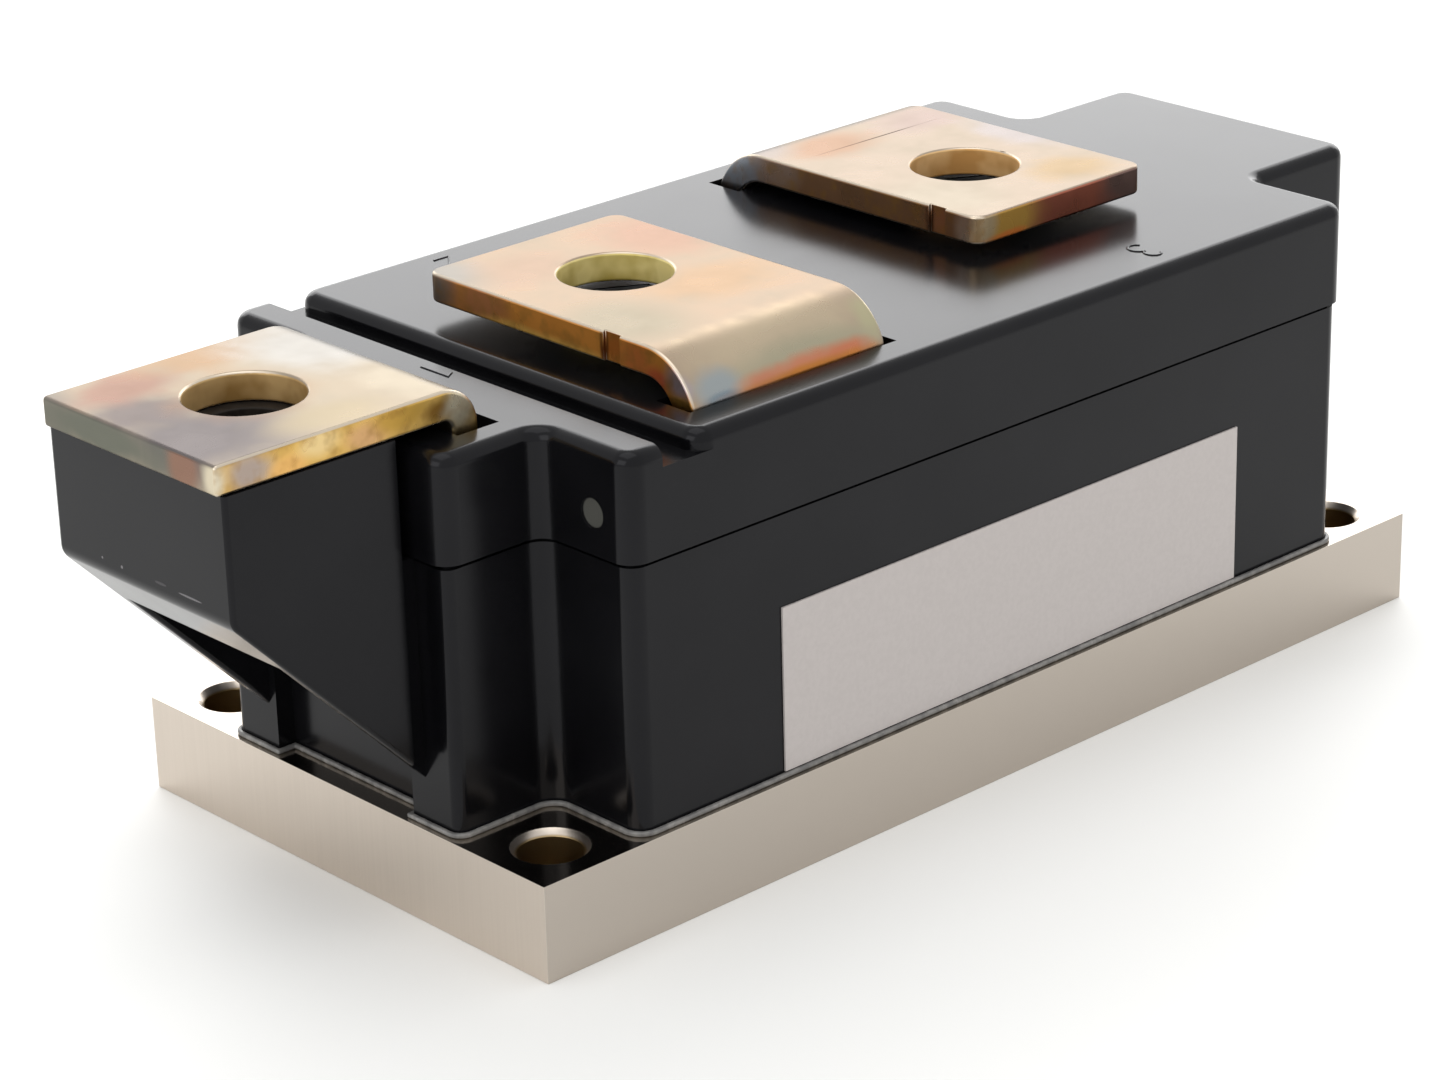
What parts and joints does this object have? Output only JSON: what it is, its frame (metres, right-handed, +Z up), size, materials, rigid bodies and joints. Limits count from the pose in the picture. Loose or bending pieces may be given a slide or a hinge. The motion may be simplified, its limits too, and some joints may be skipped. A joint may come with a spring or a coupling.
{
  "type": "power diode module",
  "caption": "Low power diode module: a metal baseplate with corner holes, a black moulded housing with corner notches, and bent plated screw terminals on top, one of them on a sloped nose.",
  "frame": {"origin": "centre of the baseplate's underside, the face that is clamped to a heat sink", "axes": "+X along the module away from the nose, +Y away from the label's side, +Z up from the heat sink to the terminals"},
  "size_m": [0.1504, 0.06, 0.0524],
  "materials": {
    "nickel_plate": "satin nickel plating on copper",
    "black_moulding": "semi-gloss moulded",
    "grey_sealant": "glossy bead",
    "label_foil": "matte film",
    "tarnished_plate": "heat-tinted plating on copper",
    "zinc_steel": "zinc plated",
    "white_ceramic": "fired matte",
    "silicon_disc": "lapped metal disc",
    "red_silicone": "moulded",
    "ivory_plastic": "moulded",
    "spring_steel": "blued"
  },
  "bodies": {
    "root": {"baseplate": "nickel_plate", "housing_frame": "black_moulding", "cover": "black_moulding", "sealing_bead": "grey_sealant", "rating_label": "label_foil", "terminal_1": "tarnished_plate", "terminal_2": "tarnished_plate", "terminal_3": "tarnished_plate", "terminal_nuts": "zinc_steel", "ceramic_insulator_1": "white_ceramic", "ceramic_insulator_2": "white_ceramic", "diode_cell_1": "silicon_disc", "diode_cell_2": "silicon_disc", "cell_ring_1": "red_silicone", "cell_ring_2": "red_silicone", "insulating_cap_1": "ivory_plastic", "insulating_cap_2": "ivory_plastic", "disc_spring_1": "spring_steel", "disc_spring_2": "spring_steel", "disc_spring_3": "spring_steel", "disc_spring_4": "spring_steel", "clamp_plate": "zinc_steel", "clamp_screws": "zinc_steel"}
  },
  "joints": []
}
